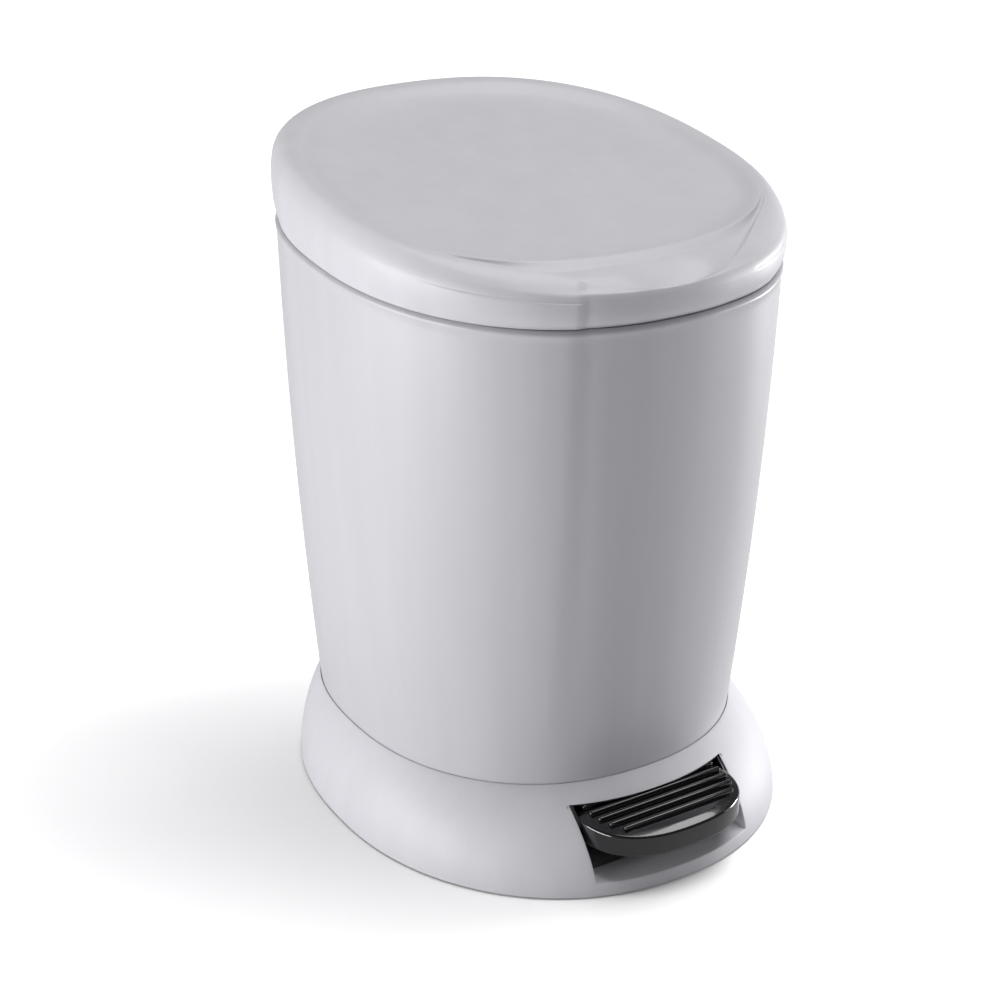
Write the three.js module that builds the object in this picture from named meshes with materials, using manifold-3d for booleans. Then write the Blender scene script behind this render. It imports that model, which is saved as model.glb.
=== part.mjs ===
// Oval pedal bin: tapered body on a domed skirt, hinged lid with a thumb scoop, ribbed foot pedal,
// lever and lift rod, and an inner bucket with a wire bail.
// Millimetres, +Z up, front (pedal side) towards -Y. The origin is on the floor under the middle.
import * as THREE from 'three';
import { mergeVertices } from 'three/addons/utils/BufferGeometryUtils.js';
import Module from 'manifold-3d';

const wasm = await Module();
wasm.setup();

// ---- Driving dimensions -----------------------------------------------------------------------
const SEGMENTS = 56;
const GAP = 0.3;

// Plan of the bin at four levels. centreY is its widest line, front and back are the depths from
// it, and squareFront and squareBack are the oval's exponents (2 is an ellipse).
const FLOOR_LINE = {
  halfWidth: 115.4, front: 129.4, back: 136.5, centreY: -2.4, squareFront: 2.11, squareBack: 2.3,
};
const SEAM_LINE = {
  halfWidth: 99.2, front: 108.9, back: 109.2, centreY: 11.5, squareFront: 2.2, squareBack: 2.39,
};
const MOUTH_LINE = {
  halfWidth: 112, front: 121.9, back: 124.8, centreY: 5.6, squareFront: 2.2, squareBack: 2.39,
};
const RIM_LINE = {
  halfWidth: 103.7, front: 85.1, back: 120.3, centreY: -4.2, squareFront: 2.38, squareBack: 2.38,
};
const SEAM_Z = 45.2;
const MOUTH_Z = 287.1;
const RIM_Z = 318.1;
const MOUTH_SLOPE = 0.08;
const RIM_SLOPE = 0.164;
const BODY_BULGE = 2.2;

const WALL = 2.2;
const SKIRT_WALL = 2.5;
const SKIRT_BOTTOM_Z = 0.8;
const BODY_BOTTOM_Z = 42;
const BODY_FLOOR = { under: 45, top: 48.2 };
const LID_BOTTOM_Z = 287.9;
const DISH_DEPTH = 4.2;

// Front panel, set back between two upright creases, and the thumb scoop above it.
const PANEL = { halfWidth: 46, setBack: 1.7, bodySoft: 12, lidSoft: 3 };
const SCOOP = { top: 303.6, depth: 11.8, startY: -91, frontY: -116 };

// Pedal window and pad.
const WINDOW = { halfWidth: 44.4, sill: 7.5, top: 39.2, sillBackY: -110.6, sillUnder: 4.8 };
const PAD = {
  halfWidth: 41.5, under: 22.4, top: 35.6, backY: -97, roundY: -104, frontY: -138.8, square: 2.3,
};
const PAD_BEVEL = 2;
const RIB = { count: 5, firstY: -126.4, pitch: 6.4, width: 2.2, height: 1.2, margin: 5.5 };

// Mechanism: pedal pivot, lift rod, lid hinge and the cam bar that the rod pushes.
const PIVOT = { y: -42, z: 25 };
const LEVER_END = { y: 117, z: 12.1 };
const ROD = { y: 113.5, radius: 2, bottom: 16, top: 272 };
const HINGE = { y: 134.8, z: 294, pinRadius: 1.5, knuckleRadius: 4 };
const CAM = { y: 118.6, z: 281.3, radius: 3, halfWidth: 9 };
const HEAD_TOP_Z = 277.4;

// Bucket and bail.
const BUCKET = { inset: 6.5, wall: 1.8, bottom: 48.6, floor: 50.6, rim: 262, backY: 104, lip: 3 };
const BAIL = { pivotY: 5.6, z: 267, halfWidth: 100, reach: 91, radius: 1.9, endX: 108, square: 3.2 };
const GRIP = { halfLength: 32, radius: 5, bore: 2.75, y: 96.1 };

const BASE_POSTS = [[-72, 48], [72, 48], [-66, -36], [66, -36]];
const FEET = [[-74, 74], [74, 74], [-74, -74], [74, -74]];

// ---- Solids -----------------------------------------------------------------------------------
function solidOf(geometry) {
  const bare = geometry.clone();
  bare.deleteAttribute('normal');
  bare.deleteAttribute('uv');
  const merged = mergeVertices(bare, 1e-4);
  const index = merged.index.array;
  const triangles = [];
  for (let i = 0; i < index.length; i += 3) {
    const [a, b, c] = [index[i], index[i + 1], index[i + 2]];
    if (a !== b && b !== c && c !== a) triangles.push(a, b, c);
  }
  const vertProperties = new Float32Array(merged.attributes.position.array);
  const triVerts = new Uint32Array(triangles);
  return new wasm.Manifold(new wasm.Mesh({ numProp: 3, vertProperties, triVerts }));
}

function geometryOf(solid) {
  const mesh = solid.getMesh();
  const geometry = new THREE.BufferGeometry();
  geometry.setAttribute('position', new THREE.Float32BufferAttribute(mesh.vertProperties, 3));
  geometry.setIndex(new THREE.Uint32BufferAttribute(mesh.triVerts, 1));
  geometry.computeVertexNormals();
  return geometry;
}

function boxSolid([x0, x1], [y0, y1], [z0, z1]) {
  const geometry = new THREE.BoxGeometry(x1 - x0, y1 - y0, z1 - z0);
  geometry.translate((x0 + x1) / 2, (y0 + y1) / 2, (z0 + z1) / 2);
  return solidOf(geometry);
}

// A round bar of the given radius between two points on a line along X, Y or Z.
function barSolid(radius, from, to, sides = 24) {
  const start = new THREE.Vector3(...from);
  const end = new THREE.Vector3(...to);
  const along = end.clone().sub(start);
  const geometry = new THREE.CylinderGeometry(radius, radius, along.length(), sides);
  const upright = new THREE.Vector3(0, 1, 0);
  const turn = new THREE.Quaternion().setFromUnitVectors(upright, along.clone().normalize());
  geometry.applyQuaternion(turn);
  geometry.translate(...start.add(end).multiplyScalar(0.5).toArray());
  return solidOf(geometry);
}

// A side outline (y, z) made as wide as the given range of x.
function plateSolid(outline, [x0, x1]) {
  const shape = new THREE.Shape(outline.map(([y, z]) => new THREE.Vector2(y, z)));
  const geometry = new THREE.ExtrudeGeometry(shape, { depth: x1 - x0, bevelEnabled: false });
  geometry.rotateY(Math.PI / 2);
  geometry.rotateX(Math.PI / 2);
  geometry.translate(x0, 0, 0);
  return solidOf(geometry);
}

// ---- The oval ---------------------------------------------------------------------------------
function mixLevels(a, b, t) {
  const level = {};
  for (const key of Object.keys(a)) level[key] = THREE.MathUtils.lerp(a[key], b[key], t);
  return level;
}

// The place in plan of a point turned at this radius, once the round is stretched to the oval.
function ovalPlace(level, angle, radius) {
  const side = Math.sin(angle);
  const ahead = Math.cos(angle);
  const power = 2 / (ahead > 0 ? level.squareFront : level.squareBack);
  const depth = (ahead > 0 ? level.front : level.back) / level.halfWidth;
  const x = radius * Math.sign(side) * Math.abs(side) ** power;
  const y = level.centreY - radius * depth * Math.sign(ahead) * Math.abs(ahead) ** power;
  return [x, y];
}

// Turns a profile of [half-width, height] points into a round, then moves each point by place().
function turnedSolid(profile, place) {
  const points = profile.map(([radius, z]) => new THREE.Vector2(radius, z));
  const geometry = new THREE.LatheGeometry(points, SEGMENTS);
  geometry.rotateX(Math.PI / 2);
  const position = geometry.attributes.position;
  for (let i = 0; i < position.count; i += 1) {
    const [x, y, z] = [position.getX(i), position.getY(i), position.getZ(i)];
    position.setXYZ(i, ...place(Math.atan2(x, -y), Math.hypot(x, y), z));
  }
  return solidOf(geometry);
}

function panelSetBack(x, y, soft) {
  if (y > 0) return 0;
  const edge = (PANEL.halfWidth + soft / 2 - Math.abs(x)) / soft;
  return PANEL.setBack * THREE.MathUtils.smoothstep(edge, 0, 1);
}

// ---- Body, skirt and lid forms ----------------------------------------------------------------
function bodyRise(z) {
  return (z - SEAM_Z) / (MOUTH_Z - SEAM_Z);
}

function bodyHalfWidth(z) {
  const t = bodyRise(z);
  return THREE.MathUtils.lerp(SEAM_LINE.halfWidth, MOUTH_LINE.halfWidth, t) + 4 * BODY_BULGE * t * (1 - t);
}

function bodyPlace(slope) {
  return (angle, radius, z) => {
    const t = bodyRise(z);
    const [x, y] = ovalPlace(mixLevels(SEAM_LINE, MOUTH_LINE, t), angle, radius);
    const back = panelSetBack(x, y, PANEL.bodySoft) * Math.max(t, 0) * Math.min(radius / 90, 1);
    return [x, y + back, z + slope * Math.max(t, 0) * (y - MOUTH_LINE.centreY)];
  };
}

// The solid inside the body's outer face, set in by inset, between two heights.
function bodySolid(inset, bottom, top, slope = MOUTH_SLOPE, steps = 1) {
  const profile = [[0, bottom]];
  for (let i = 0; i <= steps; i += 1) {
    const z = bottom + ((top - bottom) * i) / steps;
    profile.push([bodyHalfWidth(z) - inset, z]);
  }
  profile.push([0, top]);
  return turnedSolid(profile, bodyPlace(slope));
}

function skirtHalfWidth(z) {
  const flare = FLOOR_LINE.halfWidth - SEAM_LINE.halfWidth - 0.6;
  return FLOOR_LINE.halfWidth - flare * (z / SEAM_Z) ** 2;
}

function skirtPlace(angle, radius, z) {
  const t = THREE.MathUtils.clamp(z / SEAM_Z, 0, 1) ** 2;
  const [x, y] = ovalPlace(mixLevels(FLOOR_LINE, SEAM_LINE, t), angle, radius);
  return [x, y, z];
}

function skirtSolid(inset, bottom, top, steps = 4) {
  const profile = [[0, bottom]];
  for (let i = 0; i <= steps; i += 1) {
    const z = bottom + ((top - bottom) * i) / steps;
    profile.push([skirtHalfWidth(z) - inset, z]);
  }
  profile.push([0, top]);
  return turnedSolid(profile, skirtPlace);
}

function scoopFloor(x, y, drop) {
  const inside = Math.max(0, 1 - (x / PANEL.halfWidth) ** 2);
  const run = (SCOOP.startY - y) / (SCOOP.startY - SCOOP.frontY);
  return SCOOP.top - SCOOP.depth * inside * THREE.MathUtils.clamp(run, 0, 1) - drop;
}

// The wall keeps the mouth's plan and the rim has its own: the shoulder runs from one to the other.
function lidPlace(inset) {
  const wallRadius = MOUTH_LINE.halfWidth - inset;
  const shoulder = MOUTH_LINE.halfWidth - RIM_LINE.halfWidth;
  return (angle, radius, z) => {
    const inward = THREE.MathUtils.clamp((wallRadius - radius) / shoulder, 0, 1);
    const rise = THREE.MathUtils.clamp((z - MOUTH_Z) / (RIM_Z - DISH_DEPTH - MOUTH_Z), 0, 1);
    const [x, flatY] = ovalPlace(mixLevels(MOUTH_LINE, RIM_LINE, inward), angle, radius);
    const y = flatY + panelSetBack(x, flatY, PANEL.lidSoft) * (1 - inward);
    const slope = THREE.MathUtils.lerp(MOUTH_SLOPE, RIM_SLOPE, rise);
    const plainZ = z + slope * (y - MOUTH_LINE.centreY);
    const scooped = y < SCOOP.startY && Math.abs(x) < PANEL.halfWidth && z > LID_BOTTOM_Z;
    return [x, y, scooped ? Math.min(plainZ, scoopFloor(x, y, inset)) : plainZ];
  };
}

function lidSolid(inset, bottom) {
  const wall = MOUTH_LINE.halfWidth - inset;
  const rim = RIM_LINE.halfWidth;
  const wallTop = 303;
  const profile = [[0, bottom], [wall, bottom], [wall + 1.1, 296], [wall + 1.3, wallTop - inset]];
  const shoulderSteps = 4;
  for (let i = 1; i <= shoulderSteps; i += 1) {
    const turn = (Math.PI / 2) * (i / shoulderSteps);
    const out = rim + (wall + 1.3 - rim) * Math.cos(turn) ** 0.8;
    const up = wallTop + (RIM_Z - wallTop) * Math.sin(turn) ** 0.8;
    profile.push([out, up - inset]);
  }
  profile.push([rim - 4, RIM_Z - 1.2 - inset]);
  profile.push([rim - 12, RIM_Z - DISH_DEPTH - inset]);
  profile.push([0, RIM_Z - DISH_DEPTH - inset]);
  return turnedSolid(profile, lidPlace(inset));
}

// ---- Base -------------------------------------------------------------------------------------
function baseSkirt() {
  const window = boxSolid([-WINDOW.halfWidth, WINDOW.halfWidth], [-150, -60], [WINDOW.sill, WINDOW.top]);
  const sill = boxSolid(
    [-WINDOW.halfWidth - 1, WINDOW.halfWidth + 1],
    [-150, WINDOW.sillBackY],
    [WINDOW.sillUnder, WINDOW.sill],
  ).intersect(skirtSolid(1, 2, 20, 2));
  return skirtSolid(0, SKIRT_BOTTOM_Z, SEAM_Z)
    .subtract(skirtSolid(SKIRT_WALL, -1, BODY_BOTTOM_Z - 1))
    .subtract(bodySolid(-GAP, BODY_BOTTOM_Z - 8, SEAM_Z + 5, 0))
    .subtract(window)
    .add(sill);
}

function recessLiner() {
  const outside = WINDOW.halfWidth - GAP;
  const inside = outside - 1.4;
  const block = boxSolid([-outside, outside], [-150, -82], [WINDOW.sill + GAP, WINDOW.top - GAP]);
  const hollow = boxSolid([-inside, inside], [-151, -81], [0, WINDOW.top - GAP - 1.2]);
  return block.subtract(hollow).intersect(skirtSolid(0.4, 1, SEAM_Z - 1));
}

function basePlate() {
  let plate = skirtSolid(SKIRT_WALL + 0.5, 2.6, 4.4, 1);
  for (const [x, y] of BASE_POSTS) {
    plate = plate.add(barSolid(5, [x, y, 4], [x, y, BODY_FLOOR.under - GAP], 16));
    plate = plate.subtract(barSolid(2.2, [x, y, 0], [x, y, BODY_FLOOR.under + 1], 12));
    plate = plate.subtract(barSolid(4.2, [x, y, 0], [x, y, 8], 16));
  }
  return plate;
}

function footGeometry() {
  const profile = [[0, 0], [8, 0], [9, 0.8], [9, 2.3], [0, 2.3]];
  const points = profile.map(([radius, z]) => new THREE.Vector2(radius, z));
  const geometry = new THREE.LatheGeometry(points, 24);
  geometry.rotateX(Math.PI / 2);
  return geometryOf(solidOf(geometry));
}

// A pan-head screw standing on its head, driven upwards.
function screwGeometry(headRadius, headHeight, shankRadius, length) {
  const head = barSolid(headRadius, [0, 0, 0], [0, 0, headHeight], 16);
  const shank = barSolid(shankRadius, [0, 0, headHeight - 0.2], [0, 0, headHeight + length], 12);
  const slot = boxSolid([-headRadius, headRadius], [-0.5, 0.5], [-1, 0.7]);
  return geometryOf(head.add(shank).subtract(slot));
}

function pivotBracket(side) {
  const [near, far] = [15.5, 20.5].map((x) => x * side).sort((a, b) => a - b);
  const cheek = plateSolid(
    [[PIVOT.y - 11, 4.7], [PIVOT.y + 11, 4.7], [PIVOT.y + 6, 30], [PIVOT.y - 6, 30]],
    [near, far],
  );
  return cheek.subtract(barSolid(2.3, [near - 1, PIVOT.y, PIVOT.z], [far + 1, PIVOT.y, PIVOT.z], 16));
}

// ---- Body -------------------------------------------------------------------------------------
function outerBody() {
  let body = bodySolid(0, BODY_BOTTOM_Z, MOUTH_Z, MOUTH_SLOPE, 4)
    .subtract(bodySolid(WALL, BODY_FLOOR.top, MOUTH_Z + 12, MOUTH_SLOPE, 4))
    .subtract(bodySolid(WALL, BODY_BOTTOM_Z - 2, BODY_FLOOR.under, 0))
    .subtract(boxSolid([-7, 7], [106.5, 117.5], [BODY_BOTTOM_Z, 60]));
  for (const [x, y] of BASE_POSTS) {
    body = body.subtract(barSolid(2.1, [x, y, 40], [x, y, BODY_FLOOR.top - 0.8], 12));
  }
  for (const x of [-24, 24]) {
    body = body.subtract(barSolid(1.7, [x, 110, 272], [x, 140, 272], 12));
  }
  return body;
}

function rodGuide(bottom, top) {
  return boxSolid([-8, 8], [108.5, 140], [bottom, top])
    .intersect(bodySolid(WALL + GAP, bottom - 10, top + 10, 0))
    .subtract(barSolid(ROD.radius + 0.4, [0, ROD.y, bottom - 1], [0, ROD.y, top + 1], 16));
}

// ---- Pedal ------------------------------------------------------------------------------------
function padReach(y) {
  const depth = (PAD.roundY - y) / (PAD.roundY - PAD.frontY);
  return PAD.halfWidth * (1 - Math.max(depth, 0) ** PAD.square) ** (1 / PAD.square);
}

function padBlank() {
  const half = PAD.halfWidth - PAD_BEVEL;
  const depth = PAD.roundY - PAD.frontY - PAD_BEVEL;
  const shape = new THREE.Shape();
  shape.moveTo(half, PAD.backY);
  shape.lineTo(-half, PAD.backY);
  const steps = 22;
  for (let i = 0; i <= steps; i += 1) {
    const angle = -Math.PI / 2 + (Math.PI * i) / steps;
    const x = half * Math.sign(angle) * Math.abs(Math.sin(angle)) ** (2 / PAD.square);
    const y = PAD.roundY - depth * Math.abs(Math.cos(angle)) ** (2 / PAD.square);
    shape.lineTo(x, y);
  }
  const geometry = new THREE.ExtrudeGeometry(shape, {
    depth: PAD.top - PAD.under - 2 * PAD_BEVEL,
    bevelThickness: PAD_BEVEL,
    bevelSize: PAD_BEVEL,
    bevelSegments: 3,
  });
  geometry.translate(0, 0, PAD.under + PAD_BEVEL);
  return solidOf(geometry);
}

function pedalPad() {
  let pad = padBlank().subtract(boxSolid([-30, 30], [-122, -90], [PAD.under - 5, 30.2]));
  for (let i = 0; i < RIB.count; i += 1) {
    const y = RIB.firstY + RIB.pitch * i;
    const half = padReach(y) - RIB.margin;
    const across = [y - RIB.width / 2, y + RIB.width / 2];
    pad = pad.add(boxSolid([-half, half], across, [PAD.top - 1, PAD.top + RIB.height]));
  }
  for (const x of [-7, 7]) {
    pad = pad.subtract(barSolid(1.9, [x, -110, 28], [x, -110, 34.2], 12));
  }
  return pad;
}

function pedalLever() {
  const half = 13;
  const strap = plateSolid([
    [-120, 26.2], [-60, 26.2], [PIVOT.y, 23.5], [LEVER_END.y, LEVER_END.z - 1.5],
    [LEVER_END.y, LEVER_END.z + 1.5], [PIVOT.y, 26.5], [-60, 29.2], [-120, 29.2],
  ], [-half, half]);
  const flangeOutline = [
    [-92, 23], [-60, 22.6], [PIVOT.y, 19.8], [100, 9.4],
    [100, 14], [PIVOT.y, 30], [-60, 29.2], [-92, 29.2],
  ];
  const left = plateSolid(flangeOutline, [-half, -half + 2]);
  const right = plateSolid(flangeOutline, [half - 2, half]);
  const barrel = barSolid(5.4, [-half, PIVOT.y, PIVOT.z], [half, PIVOT.y, PIVOT.z], 20);
  let lever = strap.add(left).add(right).add(barrel)
    .subtract(barSolid(2.3, [-30, PIVOT.y, PIVOT.z], [30, PIVOT.y, PIVOT.z], 16));
  for (const x of [-7, 7]) {
    lever = lever.subtract(barSolid(1.9, [x, -110, 20], [x, -110, 32], 12));
  }
  return lever;
}

// ---- Lift rod ---------------------------------------------------------------------------------
function rodHead() {
  const block = plateSolid([
    [109.5, 262], [117.5, 262], [124, 271], [124, HEAD_TOP_Z], [112, HEAD_TOP_Z], [109.5, HEAD_TOP_Z - 3],
  ], [-6, 6]);
  return block.subtract(barSolid(ROD.radius + GAP, [0, ROD.y, 260], [0, ROD.y, ROD.top + GAP], 16));
}

function rodFoot() {
  return barSolid(4, [0, ROD.y, 14.8], [0, ROD.y, 23], 20)
    .subtract(barSolid(ROD.radius + GAP, [0, ROD.y, ROD.bottom - GAP], [0, ROD.y, 24], 16));
}

// ---- Hinge ------------------------------------------------------------------------------------
function hingeBracket() {
  const skin = bodySolid(-GAP, 240, MOUTH_Z + 8);
  let bracket = boxSolid([-34, 34], [118, 133.4], [262, 283]);
  for (const side of [-1, 1]) {
    const [near, far] = [26, 34].map((x) => x * side).sort((a, b) => a - b);
    const ear = plateSolid(
      [[124, 268], [132, 268], [138.4, HINGE.z - 4], [138.4, HINGE.z], [124, HINGE.z]],
      [near, far],
    );
    const barrel = barSolid(HINGE.knuckleRadius, [near, HINGE.y, HINGE.z], [far, HINGE.y, HINGE.z], 20);
    bracket = bracket.add(ear).add(barrel);
    bracket = bracket.subtract(barSolid(1.8, [side * 24, 110, 272], [side * 24, 140, 272], 12));
    bracket = bracket.subtract(barSolid(3.3, [side * 24, 132, 272], [side * 24, 140, 272], 16));
  }
  return bracket.subtract(skin)
    .subtract(boxSolid([-40, 40], [100, 131], [284, 310]))
    .subtract(barSolid(HINGE.pinRadius + 0.2, [-40, HINGE.y, HINGE.z], [40, HINGE.y, HINGE.z], 16));
}

// ---- Lid --------------------------------------------------------------------------------------
function lidKnuckle(side) {
  const [near, far] = [11, 25].map((x) => x * side).sort((a, b) => a - b);
  const arm = plateSolid([
    [126, 301], [130.6, 299.4], [131.4, HINGE.z + 2], [HINGE.y, HINGE.z],
    [HINGE.y + 3.9, HINGE.z + 1], [134, 306], [126, 312],
  ], [near, far]);
  return arm.add(barSolid(HINGE.knuckleRadius, [near, HINGE.y, HINGE.z], [far, HINGE.y, HINGE.z], 20));
}

function lidShell() {
  const hollow = lidSolid(WALL, MOUTH_Z - 12);
  return lidSolid(0, LID_BOTTOM_Z)
    .add(lidKnuckle(-1))
    .add(lidKnuckle(1))
    .subtract(hollow)
    .subtract(barSolid(HINGE.pinRadius + 0.2, [-40, HINGE.y, HINGE.z], [40, HINGE.y, HINGE.z], 16));
}

// A ring inside the lid's wall that drops into the body's mouth and centres the lid.
function lidRing() {
  const bottom = MOUTH_Z - 5;
  const top = MOUTH_Z + 6;
  return bodySolid(WALL + 1.2, bottom, top)
    .subtract(bodySolid(WALL + 2.8, bottom - 3, top + 3))
    .subtract(boxSolid([-18, 18], [90, 140], [270, 320]));
}

function lidLever() {
  const plate = boxSolid([-17, 17], [121.5, 140], [301, 318]).intersect(lidSolid(WALL + GAP, MOUTH_Z));
  const bar = barSolid(CAM.radius, [-CAM.halfWidth, CAM.y, CAM.z], [CAM.halfWidth, CAM.y, CAM.z], 20);
  let lever = plate.add(bar);
  for (const side of [-1, 1]) {
    const [near, far] = [6.5, 9].map((x) => x * side).sort((a, b) => a - b);
    lever = lever.add(plateSolid([
      [CAM.y - 3, CAM.z], [CAM.y + 2.6, CAM.z - 1], [124, 296], [125.4, 302],
      [123, 318], [121.5, 318], [115, 300],
    ], [near, far]));
    lever = lever.subtract(barSolid(1.8, [side * 13, 110, 309], [side * 13, 140, 309], 12));
  }
  return lever;
}

// ---- Bucket and bail --------------------------------------------------------------------------
function bucketBlank(inset, bottom, top) {
  const back = BUCKET.backY - (inset - BUCKET.inset) / 2;
  return bodySolid(inset, bottom, top, 0).intersect(boxSolid([-200, 200], [-200, back], [0, 400]));
}

function bucket() {
  const lipInset = BUCKET.inset - BUCKET.lip;
  let form = bucketBlank(BUCKET.inset, BUCKET.bottom, BUCKET.rim)
    .add(bucketBlank(lipInset, BUCKET.rim - 2, BUCKET.rim))
    .subtract(bucketBlank(BUCKET.inset + BUCKET.wall, BUCKET.floor, BUCKET.rim + 5));
  for (const side of [-1, 1]) {
    const [near, far] = [104.2, 107].map((x) => x * side).sort((a, b) => a - b);
    const ear = boxSolid([near, far], [BAIL.pivotY - 5, BAIL.pivotY + 5], [BUCKET.rim - 1, BAIL.z + 5]);
    const [from, to] = [[near - 2, BAIL.pivotY, BAIL.z], [far + 2, BAIL.pivotY, BAIL.z]];
    form = form.add(ear).subtract(barSolid(BAIL.radius + 0.3, from, to, 12));
  }
  return form;
}

function bailCurve() {
  const end = [[BAIL.endX, 0], [101.6, 0], [100, 3]];
  const points = end.map(([x, y]) => new THREE.Vector3(-x, BAIL.pivotY + y, BAIL.z));
  const steps = 12;
  for (let i = 0; i <= steps; i += 1) {
    const angle = -Math.PI / 2 + (Math.PI * (i + 0.5)) / (steps + 1);
    const x = BAIL.halfWidth * Math.sign(angle) * Math.abs(Math.sin(angle)) ** (2 / BAIL.square);
    const y = BAIL.pivotY + BAIL.reach * Math.abs(Math.cos(angle)) ** (2 / BAIL.square);
    points.push(new THREE.Vector3(x, y, BAIL.z));
  }
  points.push(...end.reverse().map(([x, y]) => new THREE.Vector3(x, BAIL.pivotY + y, BAIL.z)));
  return new THREE.CatmullRomCurve3(points, false, 'centripetal');
}

function bailWire() {
  const wire = new THREE.Shape().absarc(0, 0, BAIL.radius, 0, Math.PI * 2);
  const along = { steps: 44, curveSegments: 4, extrudePath: bailCurve() };
  return solidOf(new THREE.ExtrudeGeometry(wire, along));
}

function bailGrip() {
  const half = GRIP.halfLength;
  return barSolid(GRIP.radius, [-half, GRIP.y, BAIL.z], [half, GRIP.y, BAIL.z], 20)
    .subtract(barSolid(GRIP.bore, [-half - 1, GRIP.y, BAIL.z], [half + 1, GRIP.y, BAIL.z], 16));
}

// ---- Assembly ---------------------------------------------------------------------------------
const FINISHES = {
  pearl: { color: 0xcdccd2, roughness: 0.35, metalness: 0 },
  black: { color: 0x141517, roughness: 0.25, metalness: 0 },
  steel: { color: 0xb8bbc0, roughness: 0.3, metalness: 1 },
  rubber: { color: 0x2a2a2c, roughness: 0.8, metalness: 0 },
  grey: { color: 0x8d9096, roughness: 0.5, metalness: 0 },
};

function part(name, geometry, finish, position = [0, 0, 0], rotation = [0, 0, 0]) {
  const mesh = new THREE.Mesh(geometry, new THREE.MeshStandardMaterial(FINISHES[finish]));
  mesh.name = name;
  mesh.position.set(...position);
  mesh.rotation.set(...rotation);
  return mesh;
}

function baseGroup() {
  const group = new THREE.Group();
  group.add(part('base_skirt', geometryOf(baseSkirt()), 'pearl'));
  group.add(part('recess_liner', geometryOf(recessLiner()), 'black'));
  group.add(part('base_plate', geometryOf(basePlate()), 'grey'));
  FEET.forEach(([x, y], i) => group.add(part(`foot_${i + 1}`, footGeometry(), 'rubber', [x, y, 0])));
  BASE_POSTS.forEach(([x, y], i) => {
    group.add(part(`base_screw_${i + 1}`, screwGeometry(3.6, 2.2, 1.8, 38.8), 'steel', [x, y, 5.4]));
  });
  group.add(part('pivot_bracket_left', geometryOf(pivotBracket(-1)), 'grey'));
  group.add(part('pivot_bracket_right', geometryOf(pivotBracket(1)), 'grey'));
  const axle = barSolid(2, [-24, PIVOT.y, PIVOT.z], [24, PIVOT.y, PIVOT.z], 16);
  group.add(part('pedal_axle', geometryOf(axle), 'steel'));
  return group;
}

function bodyGroup() {
  const group = new THREE.Group();
  group.add(part('outer_body', geometryOf(outerBody()), 'pearl'));
  group.add(part('rod_guide_lower', geometryOf(rodGuide(60, 67)), 'grey'));
  group.add(part('rod_guide_upper', geometryOf(rodGuide(240, 247)), 'grey'));
  group.add(part('hinge_bracket', geometryOf(hingeBracket()), 'pearl'));
  for (const [word, x] of [['left', -24], ['right', 24]]) {
    const screw = screwGeometry(3, 1.8, 1.4, 6);
    group.add(part(`hinge_screw_${word}`, screw, 'steel', [x, 134, 272], [Math.PI / 2, 0, 0]));
  }
  const pin = barSolid(HINGE.pinRadius, [-36, HINGE.y, HINGE.z], [36, HINGE.y, HINGE.z], 16);
  group.add(part('hinge_pin', geometryOf(pin), 'steel'));
  return group;
}

function pedalGroup() {
  const group = new THREE.Group();
  group.add(part('pedal_pad', geometryOf(pedalPad()), 'black'));
  group.add(part('pedal_lever', geometryOf(pedalLever()), 'steel'));
  for (const [word, x] of [['left', -7], ['right', 7]]) {
    group.add(part(`pedal_screw_${word}`, screwGeometry(3, 1.8, 1.5, 7), 'steel', [x, -110, 24.1]));
  }
  return group;
}

function rodGroup() {
  const group = new THREE.Group();
  const rod = barSolid(ROD.radius, [0, ROD.y, ROD.bottom], [0, ROD.y, ROD.top], 16);
  group.add(part('lift_rod', geometryOf(rod), 'steel'));
  group.add(part('rod_head', geometryOf(rodHead()), 'black'));
  group.add(part('rod_foot', geometryOf(rodFoot()), 'black'));
  return group;
}

function lidGroup() {
  const group = new THREE.Group();
  group.add(part('lid_shell', geometryOf(lidShell()), 'pearl'));
  group.add(part('lid_ring', geometryOf(lidRing()), 'pearl'));
  group.add(part('lid_lever', geometryOf(lidLever()), 'grey'));
  for (const [word, x] of [['left', -13], ['right', 13]]) {
    const screw = screwGeometry(3, 1.8, 1.4, 2.6);
    group.add(part(`lid_screw_${word}`, screw, 'steel', [x, 119.4, 309], [-Math.PI / 2, 0, 0]));
  }
  return group;
}

function bucketGroup() {
  const group = new THREE.Group();
  group.add(part('bucket', geometryOf(bucket()), 'grey'));
  group.add(part('bail_wire', geometryOf(bailWire()), 'steel'));
  group.add(part('bail_grip', geometryOf(bailGrip()), 'black'));
  return group;
}

const pedalBin = new THREE.Group();
pedalBin.add(baseGroup(), bodyGroup(), pedalGroup(), rodGroup(), lidGroup(), bucketGroup());

export default pedalBin;
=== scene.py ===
# Oval pedal bin: pearl shell, hinged lid with a thumb scoop, ribbed black pedal, lever, lift rod,
# inner pail with a wire handle. Shapes are worked out in millimetres and brought to metres in part().
import math

import bmesh
import bpy
from mathutils import Matrix, Vector


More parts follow.
